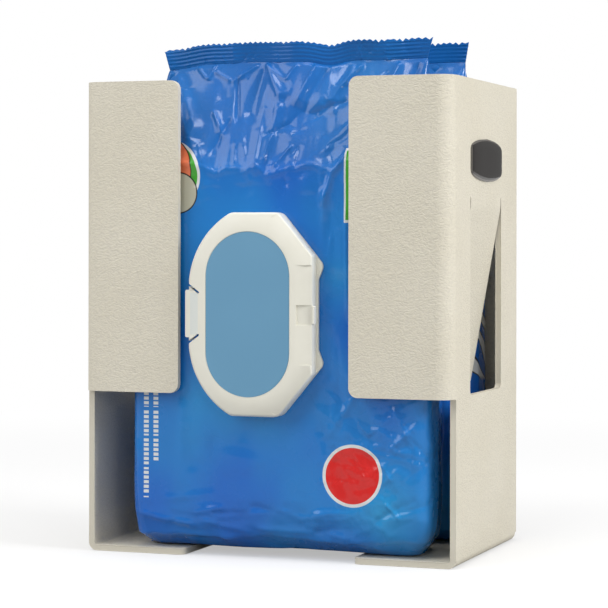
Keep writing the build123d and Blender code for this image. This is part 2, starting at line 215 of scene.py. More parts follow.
def shell_depth(x, y, z):
    """Depth below the outer skin of the bent sheet: the less of its depths in plan and in upright section."""
    half_w = float(HOLDER_HI[0])
    half_d = float(HOLDER_HI[1])
    front = inside_rounded(x, y, half_w, half_d, FRONT_BEND_R)
    back = inside_rounded(x, y, half_w, half_d, BACK_BEND_R)
    at_back = y.math("GREATER_THAN", 0.0)
    plan = back * at_back + front * (1 - at_back)
    tall = 500.0
    section = inside_rounded(x, z - tall, half_w, tall, FLOOR_BEND_R)
    return plan.least(section)


def finished_copy(node, name, width=EASED_EDGE, segments=2):
    """The CAD piece with its triangles merged into whole faces and its sharp edges rounded to the width."""
    mesh = bpy.data.meshes.new(name)
    work = bmesh.new()
    work.from_mesh(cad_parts[node].data)
    bmesh.ops.remove_doubles(work, verts=work.verts, dist=0.004 * MM)
    bmesh.ops.dissolve_limit(work, angle_limit=math.radians(1.0), verts=work.verts, edges=work.edges)
    work.to_mesh(mesh)
    work.free()
    if "custom_normal" in mesh.attributes:
        mesh.attributes.remove(mesh.attributes["custom_normal"])
    mesh.shade_smooth()
    mesh.set_sharp_from_angle(angle=SHARP_EDGE)
    piece = bpy.data.objects.new(name, mesh)
    bpy.context.collection.objects.link(piece)
    rounding = piece.modifiers.new("eased edges", "BEVEL")
    rounding.width = width * MM
    rounding.segments = segments
    rounding.limit_method = "ANGLE"
    rounding.angle_limit = SHARP_EDGE
    rounding.harden_normals = True
    rounding.use_clamp_overlap = True
    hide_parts(node)
    return piece


def dress(piece, material, body):
    """Give a piece its finish and its body."""
    piece.data.materials.clear()
    piece.data.materials.append(material)
    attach(piece, body)


holder = finished_copy("holder_shell", "bent_sheet")
dress(holder, grained_sheet("leather_grained_sheet", shell_depth), "holder")

# Spring tongues. Each is a flap of the same sheet, freed by two kerfs and a foot cut, and bent in about its
# root, so that it presses on the sides of the packs. Its root runs up into the wall without a joint.

TONGUE_ANGLE = math.radians(10.0)
TONGUE_FRONT, TONGUE_BACK = (float(corner[1] / MM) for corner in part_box("right_tongue"))
TONGUE_FOOT_Z = float(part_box("right_tongue")[0][2] / MM)
TONGUE_ROOT_Z = 189.5
TONGUE_CORNER_R = 2.5
ROOT_BEND = 7.0


def tongue_sheet(side, across=24, along=60):
    """Sheet of two skins about a middle line that hangs from the root.

    The middle line starts upright in the wall and turns inward over ROOT_BEND until it lies at TONGUE_ANGLE:
    its slope is the angle times a smooth step of the distance below the root. Skins stand half a sheet to
    either side of it, and the foot's two corners are rounded.
    """
    wall_mid = float(HOLDER_HI[0]) - SHEET / 2
    drop = TONGUE_ROOT_Z - TONGUE_FOOT_Z
    run = np.linspace(0, drop / math.cos(TONGUE_ANGLE), along)
    step = np.clip(run / ROOT_BEND, 0, 1)
    slope = TONGUE_ANGLE * step * step * (3 - 2 * step)
    inward = np.cumsum(np.sin(slope)) * run[1]
    down = np.cumsum(np.cos(slope)) * run[1]
    inward, down = inward - inward[0], down - down[0]
    down *= drop / down[-1]
    into_foot = np.clip((TONGUE_CORNER_R - (run[-1] - run)) / TONGUE_CORNER_R, 0, 1)
    narrowing = TONGUE_CORNER_R * (1 - np.sqrt(1 - into_foot**2))
    half = (TONGUE_BACK - TONGUE_FRONT) / 2 - narrowing
    y = (TONGUE_FRONT + TONGUE_BACK) / 2 + np.linspace(-1, 1, across)[None, :] * half[:, None]
    skins = []
    for out in (1, -1):
        x = wall_mid - inward + out * SHEET / 2 * np.cos(slope)
        z = TONGUE_ROOT_Z - down - out * SHEET / 2 * np.sin(slope)
        skins.append(np.stack(np.broadcast_arrays(side * x[:, None], y, z[:, None]), axis=-1))
    return np.concatenate([skins[0], skins[1][:, ::-1]], axis=1)


def grid_mesh(name, points, join_rows=True, cap_ends=False):
    """Mesh from a grid of places in millimetres, whose rows may close and whose end rows may be capped."""
    rows, columns = points.shape[:2]
    index = np.arange(rows * columns).reshape(rows, columns)
    here, there = (index, np.roll(index, -1, axis=1)) if join_rows else (index[:, :-1], index[:, 1:])
    faces = np.stack([here[:-1], there[:-1], there[1:], here[1:]], axis=-1).reshape(-1, 4).tolist()
    if cap_ends:
        half = columns // 2
        for row in (0, rows - 1):
            near, far = index[row, :half], index[row, : half - 1 : -1]
            faces += np.stack([near[:-1], near[1:], far[1:], far[:-1]], axis=-1).tolist()
    mesh = bpy.data.meshes.new(name)
    mesh.from_pydata((points.reshape(-1, 3) * MM).tolist(), [], faces)
    work = bmesh.new()
    work.from_mesh(mesh)
    bmesh.ops.remove_doubles(work, verts=work.verts, dist=0.002 * MM)
    bmesh.ops.recalc_face_normals(work, faces=work.faces)
    work.to_mesh(mesh)
    work.free()
    mesh.shade_smooth()
    piece = bpy.data.objects.new(name, mesh)
    bpy.context.collection.objects.link(piece)
    return piece


def tongue_depth(side):
    """Depth of a point below the outer skin of the slanted tongue."""

    def depth(x, y, z):
        below = TONGUE_ROOT_Z - ROOT_BEND / 2 - z
        outer_x = float(HOLDER_HI[0]) - below.most(0.0) * math.tan(TONGUE_ANGLE)
        return (outer_x - x * side) * math.cos(TONGUE_ANGLE)

    return depth


for side, label in ((1, "right"), (-1, "left")):
    tongue = grid_mesh(f"{label}_spring_tongue", tongue_sheet(side), cap_ends=True)
    tongue.data.set_sharp_from_angle(angle=math.radians(40))
    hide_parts(f"{label}_tongue")
    tongue.data.materials.append(grained_sheet(f"grained_sheet_{label}_tongue", tongue_depth(side)))
    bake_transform(tongue)

# Badge. A barrel-shaped print under a clear domed resin that has flowed to its edge, stuck to the right wall.
# The print is near black with a thin paler rim, and it is left bare.

BADGE_LO, BADGE_HI = box_of("badge_plate")
BADGE_MIDDLE = (BADGE_LO + BADGE_HI) / 2
BADGE_HALF_W, BADGE_HALF_H = (float(half) for half in ((BADGE_HI - BADGE_LO) / 2)[1:])
BADGE_SIDE_H = 16.0
BADGE_CROWN = float(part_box("badge_dome")[1][0] / MM - HOLDER_HI[0])
BADGE_LIP = 0.45
BADGE_BLACK = (0.020, 0.017, 0.015, 1)
BADGE_RIM = (0.13, 0.12, 0.105, 1)


def badge_dome(around=220, rings=26):
    """Dome over the barrel outline: rings shrink to the middle, and the height follows a fourth-power crown.

    The outline is a rectangle whose upper and lower sides bow out as parabolas and whose corners are rounded
    by a superellipse of high order.
    """
    angle = np.linspace(0, 2 * math.pi, around, endpoint=False)
    power = 2.0 / 9.0
    u = np.sign(np.cos(angle)) * np.abs(np.cos(angle)) ** power
    v = np.sign(np.sin(angle)) * np.abs(np.sin(angle)) ** power
    bow = BADGE_SIDE_H / 2 + (BADGE_HALF_H - BADGE_SIDE_H / 2) * (1 - u**2)
    rho = np.concatenate([[0.02, 1.0], 1 - np.linspace(0, 1, rings) ** 1.6 * 0.999])
    crown = np.concatenate([[0.0, 0.0], BADGE_LIP + (BADGE_CROWN - BADGE_LIP) * (1 - rho[2:] ** 4) ** 0.6])
    y = BADGE_MIDDLE[1] + rho[:, None] * (u * BADGE_HALF_W)[None, :]
    z = BADGE_MIDDLE[2] + rho[:, None] * (v * bow)[None, :]
    return np.stack(np.broadcast_arrays(HOLDER_HI[0] + crown[:, None], y, z), axis=-1)


def badge_finish():
    """Near-black print with a thin paler rim, seen through clear resin."""
    material, shader, place, (x, y, z) = new_finish("domed_badge")
    across = abs(y - float(BADGE_MIDDLE[1]))
    u = across / BADGE_HALF_W
    bow = BADGE_SIDE_H / 2 + (BADGE_HALF_H - BADGE_SIDE_H / 2) * (1 - u * u)
    edge = (BADGE_HALF_W - across).least(bow - abs(z - float(BADGE_MIDDLE[2])))
    speckle = place.noise(0.6, 3.0).ramp(0.35, 0.8).mix((0.85, 0.85, 0.85, 1), (1.15, 1.15, 1.15, 1))
    finish_with(
        shader,
        Base_Color=edge.ramp(1.25, 0.85).mix(BADGE_BLACK, BADGE_RIM).times_colour(speckle),
        Roughness=0.5 + place.noise(9.0, 2.0) * 0.06,
        Specular_IOR_Level=0.1,
        Coat_Weight=1.0,
        Coat_Roughness=0.05,
    )
    return material


badge = grid_mesh("domed_badge", badge_dome())
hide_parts("badge_plate", "badge_dome")
dress(badge, badge_finish(), "holder")

# Soft packs. Each is one web of glossy printed laminate, 0.1 mm thick, folded round a stack of moist cloths
# with a tuck in each side, crimped across the top and the foot, and seamed down the back. It creases where it
# is slack.

STACK_TOP = 208.6
SEAL_H = 10.8
TOOTH = 3.1
TOOTH_H = 1.2
RIDGE = 2.0
MOUTH_HALF = (19.5, 38.5)
LABEL_LO, LABEL_HI = box_of("front_lid_label")
CLOSURE_X = float(LABEL_LO[0] + LABEL_HI[0]) / 2
CLOSURE_Z = float(LABEL_LO[2] + LABEL_HI[2]) / 2
FLANGE_INSIDE_Y = float(HOLDER_LO[1]) + SHEET


def smooth(value):
    """Smooth step from 0 to 1 as the value goes from 0 to 1."""
    value = np.clip(value, 0, 1)
    return value * value * (3 - 2 * value)


def waves(u, v, size, seed, count=12):
    """Smooth random swell between about -1 and 1: a sum of plane waves near one size in random directions."""
    pick = np.random.default_rng(seed)
    total = 0.0
    for _ in range(count):
        angle, phase = pick.uniform(0, 2 * math.pi, 2)
        length = size * pick.uniform(0.7, 1.6)
        total = total + np.cos((u * math.cos(angle) + v * math.sin(angle)) * 2 * math.pi / length + phase)
    return total / math.sqrt(count)


def fold(u, v, start, end, start_w, end_w, height, sharp=0.0, skew=0.0):
    """One fold from start to end: a ridge or valley whose width grows along it and whose ends fade out.

    Across the fold the height falls off as a bell, or as a pointed ridge as far as sharp goes to 1. Skew
    tilts one flank.
    """
    run = np.subtract(end, start).astype(float)
    length = np.hypot(*run)
    run /= length
    along = ((u - start[0]) * run[0] + (v - start[1]) * run[1]) / length
    across = -(u - start[0]) * run[1] + (v - start[1]) * run[0]
    across = across / (start_w + (end_w - start_w) * np.clip(along, 0, 1))
    shape = (1 - sharp) * np.exp(-(across**2)) + sharp * np.exp(-np.abs(across))
    fade = smooth(np.clip(along * 6 + 0.35, 0, 1) * np.clip((1 - along) * 4 + 0.2, 0, 1))
    return height * shape * (1 + skew * np.tanh(across)) * fade


def strewn_folds(u, v, seed, count, box, angles, lengths, widths, heights, sharp):
    """Many folds whose places, directions in degrees and sizes are drawn between limits; half are valleys."""
    pick = np.random.default_rng(seed)
    total = np.zeros_like(u)
    for _ in range(count):
        start = [pick.uniform(low, high) for low, high in box]
        angle = math.radians(pick.uniform(*angles))
        length, width, height = (pick.uniform(*limits) for limits in (lengths, widths, heights))
        end = (start[0] + length * math.cos(angle), start[1] + length * math.sin(angle))
        height *= pick.choice((-1, 1))
        end_width = width * pick.uniform(1.0, 2.2)
        skew = pick.uniform(-0.6, 0.6)
        total += fold(u, v, start, end, width, end_width, height, sharp, skew)
    return total


def rounded_plan(count_front, count_corner, count_side, count_back):
    """Columns round the pack, from its front left to its front, right, back and left.

    Gives for each column where it lies on the straight sides (from -1 to 1) and which way its corner faces.
    """
    front, back = np.linspace(-1, 1, count_front), np.linspace(1, -1, count_back)
    side = np.linspace(-1, 1, count_side)[1:-1]
    turn = np.linspace(0, math.pi / 2, count_corner + 2)[1:-1]
    one, none = np.ones_like, np.zeros_like
    kx = [front, one(turn), one(side), one(turn), back, -one(turn), -one(side), -one(turn)]
    ky = [-one(front), -one(turn), side, one(turn), one(back), one(turn), side[::-1], -one(turn)]
    out, on = np.sin(turn), np.cos(turn)
    cx = [none(front), out, one(side), on, none(back), -out, -one(side), -on]
    cy = [-one(front), -on, none(side), out, one(back), on, none(side), -out]
    return tuple(np.concatenate(part) for part in (kx, ky, cx, cy))


# Foot of a pack: how far it runs in under the wall in depth and in width, its height, and how far its crease
# wanders
FOOT_PROFILE = [(15.0, 4.0, 0.0, 0.0), (4.2, 0.4, 7.0, 1.0), (0.4, 0.0, 19.0, 0.8), (0.0, 0.0, 27.0, 0.0)]


def pack_rows(pack, foot, curl, wall, top):
    """Rows from the folded foot seal, over the foot's round, up the walls and over the slack top to the seal.

    Gives each row's half depth, how far its outline is taken in, its share of the way up the wall, its height
    below the wall, its share of the way up the slack top, and how much the foot's crease wanders there.
    """
    step = np.linspace(0, 3, curl, endpoint=False)
    slack = np.linspace(0, 1, top)
    under, taken, height, wander = (np.interp(step, range(4), column) for column in zip(*FOOT_PROFILE))
    depth = np.concatenate([
        (pack["half_d"] - FOOT_PROFILE[0][0]) * np.linspace(0, 1, foot, endpoint=False),
        pack["half_d"] - under,
        np.full(wall, pack["half_d"]),
        pack["half_d"] * (1 - slack**0.94),
    ])
    inset = np.concatenate([np.full(foot, FOOT_PROFILE[0][1]), taken, np.zeros(wall + top)])
    share = np.concatenate([np.zeros(foot + curl), np.linspace(0, 1, wall, endpoint=False), np.ones(top)])
    low = np.concatenate([np.zeros(foot), height, np.full(wall + top, FOOT_PROFILE[-1][2])])
    rise = np.concatenate([np.zeros(foot + curl + wall), slack])
    return depth, inset, share, low, rise, np.concatenate([np.zeros(foot), wander, np.zeros(wall + top)])


SEAL_DIP = 2.4
SEAL_DIP_HALF_W = 9.0


def seal_line(pack, x):
    """Height of the seal's foot and its place front to back, along the pack: a slow wave with one dip."""
    u = (x - pack["seal_x0"]) / (pack["seal_x1"] - pack["seal_x0"])
    dip = SEAL_DIP * np.exp(-(((x - pack["dip_x"]) / SEAL_DIP_HALF_W) ** 2))
    level = pack["seal_z"] - pack["droop"] * (1 - smooth(u / 0.2)) - dip
    level = level + 0.35 * waves(x, 0 * x, 34, pack["seed"] + 5)
    bow = 2.2 * np.sin(u * 2 * math.pi * 1.3 + 0.6) + 1.1 * np.sin(u * 2 * math.pi * 3.1 + 1.0)
    return level, pack["mid_y"] + pack["seal_y"] + bow


def pack_surface(pack, plan, counts):
    """Film surface as a grid: each row is a rounded rectangle that closes to a line at the foot and the seal.

    On the front the slack top starts at the ragged upper edge of the stack. Towards the seal the sides tuck
    in along their middle, the outline narrows to the seal's length, and the whole leans to the seal's line.
    The relief is added along the surface's own normal, and the film never passes its limits front and back.
    """
    kx, ky, cx, cy = plan
    depth, inset, share, low, rise, wander = (part[:, None] for part in pack_rows(pack, *counts))
    radius = np.minimum(pack["corner_r"], depth)
    width1 = (pack["seal_x1"] - pack["seal_x0"]) / 2
    easing = rise**1.7
    width = (pack["half_w"] - inset) * (1 - easing) + width1 * easing
    centre = pack["x"] + ((pack["seal_x0"] + pack["seal_x1"]) / 2 - pack["x"]) * easing
    tuck = pack["tuck"] * smooth((rise - 0.04) / 0.96)
    inward = tuck * np.where(np.abs(cx) > 0.98, 1 - np.abs(ky) ** 1.4, 0) * np.sign(kx)
    x = centre + kx * (width - radius) + cx * radius - inward
    facing = np.clip(-cy, 0, 1)
    shoulder = STACK_TOP + facing * (pack["edge"](x) - STACK_TOP)
    level, line_y = seal_line(pack, x)
    foot_crease = 2.0 * waves(x, ky * 20.0, 44, pack["seed"]) + 1.1 * waves(x, 0 * x, 15, 9)
    z = pack["base_z"] + low + wander * foot_crease
    z = z + (shoulder - z) * share
    z = z + (level - z) * rise
    y = pack["mid_y"] + (line_y - pack["mid_y"]) * rise + ky * (depth - radius) + cy * radius
    past_tongue = smooth(pack["bulge_side"] * (pack["bulge_y"] - y) / 9)
    x = x + pack["bulge"] * past_tongue * smooth(x / 60) * smooth(z / 24) * (1 - rise)
    grid = np.stack([x, y, z], axis=-1)
    normal = np.cross(np.roll(grid, -1, axis=1) - np.roll(grid, 1, axis=1), np.gradient(grid, axis=0))
    normal /= np.linalg.norm(normal, axis=-1, keepdims=True) + 1e-9
    wall_row = grid[counts[0] + counts[1]]
    arc = np.cumsum(np.linalg.norm(np.roll(wall_row, -1, axis=0) - wall_row, axis=-1))[None, :] + 0 * x
    relief = pack["relief"](grid, normal, arc, shoulder)
    free = smooth(np.arange(len(rise))[:, None] / 8.0) * smooth((1 - rise) / 0.05)
    grid = grid + normal * (relief * free)[..., None]
    grid[..., 1] = np.clip(grid[..., 1], *pack["limits_y"])
    return grid


def closure_pad(x, z, margin):
    """1 behind the closure's glued face, fading to 0 within the margin around it."""
    reach = ((np.abs(x - CLOSURE_X) / 37.5) ** 4 + (np.abs(z - CLOSURE_Z) / 54.0) ** 4) ** 0.25
    return 1 - smooth((reach - 1.0) / (margin / 45.0))


STACK_EDGE = [
    (-82, 206), (-60, 209), (-48, 211), (-36, 208), (-30, 205), (-23, 207.5), (-12, 207), (-7, 210),
    (-1, 203.5), (8, 207), (23, 209.5), (33, 207), (41, 211), (46, 215), (58, 212), (84, 207),
]


def ragged_edge(x):
    """Height at which the film leaves the front of the cloths: straight lines between its corners."""
    return np.interp(x, *zip(*STACK_EDGE)) + 0.35 * waves(x, 0 * x, 7, 61)


# Folds of the slack top and of the taut front: start, end, widths at both, height, sharpness and tilt
TOP_FOLDS = [
    ((-51, 264), (-42, 255), 0.7, 1.2, 1.1, 0.8, 0.4),
    ((-42, 255), (-39, 264), 0.9, 0.7, 1.1, 0.9, -0.4),
    ((-39, 260), (-28, 254), 1.0, 1.6, 0.9, 0.7, 0.5),
    ((-28, 254), (-13, 264), 1.6, 1.0, 1.0, 0.7, -0.3),
    ((-25, 257), (-21, 231), 0.9, 1.6, -1.3, 0.6, 0.3),
    ((-62, 258), (-44, 222), 3.0, 6.0, 1.5, 0.3, 0.5),
    ((-56, 244), (-38, 206), 3.0, 5.0, 1.2, 0.4, -0.5),
    ((-9, 264), (3, 242), 1.2, 5.5, 1.9, 0.5, 0.6),
    ((3, 243), (-3, 205), 4.5, 2.0, 1.7, 0.5, -0.6),
    ((-10, 262), (-16, 232), 1.5, 5.0, -1.2, 0.3, 0.3),
    ((-9, 263), (4, 254), 0.9, 1.2, 0.9, 0.8, 0.4),
    ((4, 254), (10, 263), 1.2, 0.9, 0.9, 0.8, -0.4),
    ((20, 262), (11, 240), 1.2, 4.0, 1.6, 0.5, 0.4),
    ((27, 261), (12, 226), 1.6, 5.0, -1.4, 0.4, -0.4),
    ((29, 270), (26, 236), 9.0, 10.0, 2.2, 0.0, 0.0),
    ((40, 262), (38, 250), 1.5, 2.5, 0.8, 0.3, 0.5),
    ((46, 262), (29, 241), 1.6, 3.0, 1.5, 0.6, -0.7),
    ((41, 243), (14, 234), 1.6, 2.6, -1.2, 0.7, 0.6),
    ((14, 234), (-4, 224), 2.6, 1.6, -1.0, 0.7, 0.3),
    ((50, 236), (26, 214), 1.6, 3.0, 1.1, 0.6, 0.6),
    ((66, 263), (58, 240), 1.6, 5.0, 1.4, 0.5, 0.4),
    ((76, 262), (70, 238), 1.4, 4.0, -1.2, 0.6, 0.4),
    ((-66, 262), (-72, 236), 1.6, 4.0, -1.1, 0.4, 0.4),
    ((-36, 238), (-27, 222), 1.0, 2.4, 0.9, 0.6, 0.5),
    ((-25, 234), (-34, 214), 1.0, 2.6, -0.8, 0.6, 0.5),
    ((12, 219), (2, 206), 0.8, 1.8, 1.0, 0.8, 0.4),
]
FRONT_FOLDS = [
    ((48, 220), (37, 204), 1.5, 1.7, 1.2, 0.2, 0.2),
    ((37, 206), (31, 186), 1.7, 2.2, 1.3, 0.1, 0.2),
    ((32, 196), (30, 150), 2.0, 2.6, 1.3, 0.1, 0.2),
    ((36, 172), (33, 140), 1.2, 1.6, 0.9, 0.2, 0.2),
    ((44, 186), (45, 128), 0.9, 1.2, 0.9, 0.9, 0.5),
    ((36, 92), (60, 60), 2.4, 5.0, -1.2, 0.4, 0.5),
    ((24, 88), (46, 34), 2.2, 5.0, -0.9, 0.4, -0.4),
    ((19, 86), (40, 74), 1.2, 3.0, 0.8, 0.6, 0.4),
    ((52, 92), (34, 66), 1.6, 3.0, 0.9, 0.5, 0.5),
    ((49, 76), (58, 66), 0.7, 1.2, 1.1, 0.8, 0.5),
    ((64, 52), (70, 43), 0.6, 1.0, 1.0, 0.9, 0.4),
    ((58, 62), (80, 58), 1.6, 2.6, 0.8, 0.5, 0.5),
    ((66, 32), (74, 24), 0.7, 1.2, 1.1, 0.8, 0.5),
    ((60, 22), (78, 33), 1.2, 2.0, -1.0, 0.7, 0.4),
    ((70, 82), (80, 62), 1.6, 3.0, 1.0, 0.5, 0.5),
    ((-48, 84), (-50, 30), 3.0, 5.0, 0.6, 0.3, 0.5),
    ((-30, 66), (-34, 26), 3.0, 5.0, -0.6, 0.4, 0.5),
    ((-74, 60), (-72, 16), 1.6, 2.2, 1.0, 0.5, 0.5),
    ((-72, 22), (-40, 17), 1.4, 2.0, 1.1, 0.7, -0.5),
    ((-38, 20), (-6, 13), 1.4, 2.0, 1.0, 0.7, -0.5),
    ((-6, 16), (30, 14), 1.4, 2.2, 1.1, 0.7, 0.5),
    ((30, 16), (64, 7), 1.4, 2.0, 1.0, 0.7, 0.5),
]

# Smaller folds strewn over the front pack. Each group has its seed and its count, the limits across and up
# between which they start, the limits of their direction, length, width and height, and their sharpness.
SLACK_STREWN = [
    (11, 14, ((-72, 82), (222, 268)), (250, 290), (14, 44), (2.0, 5.5), (0.15, 0.5), 0.3),
    (12, 8, ((-72, 10), (212, 262)), (0, 360), (4, 13), (0.5, 1.2), (0.1, 0.3), 0.7),
    (22, 36, ((14, 80), (212, 258)), (200, 260), (5, 18), (0.5, 1.4), (0.1, 0.4), 0.7),
]
LIP_STREWN = (13, 30, ((-60, 70), (196, 214)), (60, 120), (5, 13), (0.7, 1.8), (0.15, 0.5), 0.6)
TAUT_STREWN = [
    (14, 34, ((22, 60), (52, 96)), (-85, -15), (10, 42), (1.0, 3.4), (0.15, 0.6), 0.5),
    (15, 46, ((26, 80), (12, 96)), (-90, 60), (4, 13), (0.5, 1.2), (0.1, 0.4), 0.7),
    (16, 42, ((-80, 60), (7, 30)), (-18, 12), (8, 34), (1.0, 2.6), (0.15, 0.6), 0.5),
    (17, 16, ((30, 48), (100, 215)), (262, 278), (14, 60), (0.8, 2.4), (0.15, 0.5), 0.7),
    (18, 14, ((-78, 20), (30, 90)), (255, 285), (20, 50), (3.0, 7.0), (0.1, 0.35), 0.2),
    (19, 16, ((-44, 30), (184, 206)), (250, 290), (6, 20), (1.6, 4.0), (0.1, 0.4), 0.3),
]
SIDE_STREWN = (20, 60, ((150, 220), (10, 250)), (-60, 60), (8, 26), (1.0, 3.0), (0.15, 0.5), 0.5)
CORNER_STREWN = (21, 44, ((118, 150), (10, 92)), (-50, 50), (8, 26), (0.8, 2.4), (0.2, 0.7), 0.6)
DEEPEST, HIGHEST = -1.9, 2.6
CLOSURE_MARGIN = 16.0


def front_relief(grid, normal, arc, shoulder):
    """Creases of the front pack: slack top, lip at the stack's edge, and draws round closure and foot."""
    x, z = grid[..., 0], grid[..., 2]
    front = smooth(-normal[..., 1] * 1.6 - 0.2)
    slack = smooth((z - shoulder + 2) / 5)
    taut = 1 - slack
    h = 0.5 * waves(arc, z, 60, 3) * (0.6 + slack)
    for group in SLACK_STREWN:
        h += slack * strewn_folds(x, z, *group)
    h += strewn_folds(x, z, *LIP_STREWN)
    for group in TAUT_STREWN:
        h += taut * strewn_folds(x, z, *group)
    for folds in (TOP_FOLDS, FRONT_FOLDS):
        h += front * sum(fold(x, z, *one) for one in folds)
    lip = np.exp(-(((z - shoulder + 1.6) / 1.5) ** 2))
    h += front * 0.5 * lip * (0.7 + 0.5 * waves(x, 0 * x, 15, 71))
    h += strewn_folds(arc, z, *SIDE_STREWN) * (1 - front)
    h += taut * strewn_folds(arc, z, *CORNER_STREWN)
    return np.clip(h, DEEPEST, HIGHEST) * (1 - closure_pad(x, z, CLOSURE_MARGIN))


POUCH_LO, POUCH_HI = box_of("front_pouch")
FRONT_PACK = {
    "x": float(POUCH_LO[0] + POUCH_HI[0]) / 2 + 1.0, "half_w": float(POUCH_HI[0] - POUCH_LO[0]) / 2 - 1.0,
    "half_d": float(POUCH_HI[1] - POUCH_LO[1]) / 2, "corner_r": 7.5,
    "base_z": float(POUCH_LO[2]), "mid_y": float(POUCH_LO[1] + POUCH_HI[1]) / 2,
    "seal_x0": -67.0, "seal_x1": 80.4, "seal_z": 265.0, "seal_y": -2.0, "droop": 2.6, "dip_x": 27.0,
    "tuck": 24.0, "bulge": 6.4, "bulge_y": -34.0, "bulge_side": 1, "flare": 3.2, "lean": 1.0,
    "seed": 100, "relief": front_relief, "edge": ragged_edge,
    "limits_y": (FLANGE_INSIDE_Y + 0.3, float(POUCH_HI[1])),
}


def cut_mouth(piece, front_y):
    """Take the film away over the mouth, which the closure's plate covers all round."""
    work = bmesh.new()
    work.from_mesh(piece.data)
    half_w, half_h = MOUTH_HALF
    straight = half_h - half_w
    gone = []
    for face in work.faces:
        middle = face.calc_center_median() / MM
        up = max(abs(middle.z - CLOSURE_Z) - straight, 0.0)
        if middle.y < front_y + 2 and math.hypot(middle.x - CLOSURE_X, up) < half_w:
            gone.append(face)
    bmesh.ops.delete(work, geom=gone, context="FACES")
    work.to_mesh(piece.data)
    work.free()


def disc(x, z, centre, radius, soft=0.15):
    """1 inside a circle in the front view."""
    u, v = x - centre[0], z - centre[1]
    return (u * u + v * v).math("SQRT").ramp(radius + soft, radius - soft)


PRINT_WHITE = (0.74, 0.76, 0.76, 1)
PRINT_RED = (0.72, 0.022, 0.020, 1)
PRINT_GREEN = (0.060, 0.380, 0.035, 1)
PRINT_ORANGE = (0.850, 0.210, 0.095, 1)
PRINT_STONE = (0.520, 0.510, 0.400, 1)
PRINT_DARK = (0.018, 0.020, 0.024, 1)
DISC_CENTRE = (48.0, 46.0)
BAR_COLUMNS = ((-70.2, -67.4, 30.0, 90.0), (-64.6, -61.8, 50.0, 90.0))
BAR_PITCH = 2.5
BAR_GROUP = 15.5
ROUND_SHAPES = [
    ((-57.0, 203.0), 19.2, PRINT_WHITE),
    ((-57.0, 203.0), 17.6, PRINT_GREEN),
    ((-61.0, 206.0), 18.2, PRINT_DARK),
    ((-61.0, 206.0), 17.6, PRINT_ORANGE),
    ((-61.0, 206.0), 10.6, PRINT_GREEN),
    ((-50.5, 194.0), 11.2, PRINT_DARK),
    ((-50.5, 194.0), 10.5, PRINT_STONE),
]


def front_print(colour, x, y, z):
    """Print of the front panel: a red disc, two columns of bars, and round shapes beside the closure."""
    front = y.ramp(-44.0, -48.0)
    layers = [
        (disc(x, z, DISC_CENTRE, 16.4), PRINT_WHITE),
        (disc(x, z, DISC_CENTRE, 14.7), PRINT_RED),
    ]
    for left, right, low, high in BAR_COLUMNS:
        column = x.within(left, right) * z.within(low, high)
        bars = (z / BAR_PITCH).math("FRACT").within(0.14, 0.80, 0.06)
        groups = (z / BAR_GROUP).math("FRACT").within(0.1, 1.2, 0.01)
        layers.append((column * (bars * groups), PRINT_WHITE))
    patch = [(disc(x, z, centre, radius), ink) for centre, radius, ink in ROUND_SHAPES]
    strip = x.within(43.4, 90.0) * z.within(178.0, 217.0)
    inner_strip = x.within(44.4, 90.0) * z.within(179.4, 215.6)
    for mask, ink in layers + patch + [(strip, PRINT_WHITE), (inner_strip, PRINT_GREEN)]:
        colour = (mask * front).mix(colour, ink)
    return colour


def side_print(colour, x, y, z):
    """Plain print on the rear pack's right side: pale slanted bands with dark edges."""
    side = x.ramp(74.0, 77.0) * z.within(92.0, 150.0, 2.0)
    wave = ((y * 0.8 + z) / 17.0 + (z * 0.21).math("SINE") * 0.12).math("FRACT")
    for low, high, ink in ((0.28, 0.78, PRINT_DARK), (0.34, 0.72, PRINT_WHITE)):
        colour = (side * wave.within(low, high, 0.02)).mix(colour, ink)
    return colour


FILM_DEEP = (0.011, 0.138, 0.56)
FILM_BRIGHT = (0.024, 0.335, 0.66)
# Darker blue of the slack top: painted shade
FILM_SLACK_SHADE = (0.012, 0.130, 0.43, 1)


def film_finish(name, inks=None, depth=1.0, gloss=0.6):
    """Glossy printed laminate: blue that drifts to cyan in soft clouds, with fine crinkles."""
    material, shader, place, (x, y, z) = new_finish(name)
    clouds = place.noise(60.0, 2.0, 0.5, stretch=(1, 1, 0.7)).ramp(0.36, 0.66)
    pools = disc(x, z, (-24.0, 84.0), 18.0, 26.0).most(disc(x, z, (40.0, 150.0), 8.0, 22.0))
    pools = pools.most(disc(x, z, (64.0, 28.0), 10.0, 26.0)).most(disc(x, z, (48.0, 246.0), 12.0, 26.0))
    cyan = (clouds * 0.35 + pools * 0.65).least(1.0)
    deep, bright = ((*(part * depth for part in ink), 1) for ink in (FILM_DEEP, FILM_BRIGHT))
    colour = cyan.mix(deep, bright)
    # The slack top above the stack's edge is mixed towards a darker blue, more so in soft streaks: painted
    # shade that tones down its reflections.
    slack_shade_streaks = z.ramp(196.0, 226.0) * place.noise(20.0, 2.0, 0.5, stretch=(1, 1, 0.4)).ramp(0.35, 0.65)
    colour = (z.ramp(200.0, 216.0) * 0.7 + slack_shade_streaks * 0.15).mix(colour, FILM_SLACK_SHADE)
    if inks:
        colour = inks(colour, x, y, z)
    drift = place.noise(24.0, 3.0, 0.6)
    thin_creases = (1 - abs(place.noise(15.0, 3.0, 0.5) - 0.5) * 16.0).most(0.0)
    crinkle = place.noise(3.0, 3.0, 0.5) * 0.35 + thin_creases * 0.35 + place.noise(8.0, 2.0, 0.5) * 0.6
    finish_with(
        shader,
        Base_Color=colour,
        Roughness=0.22 + drift * 0.10,
        Specular_IOR_Level=gloss * 0.3,
        Coat_Weight=gloss,
        Coat_Roughness=0.1,
        Normal=crinkle.bump(0.12, 0.7),
    )
    return material


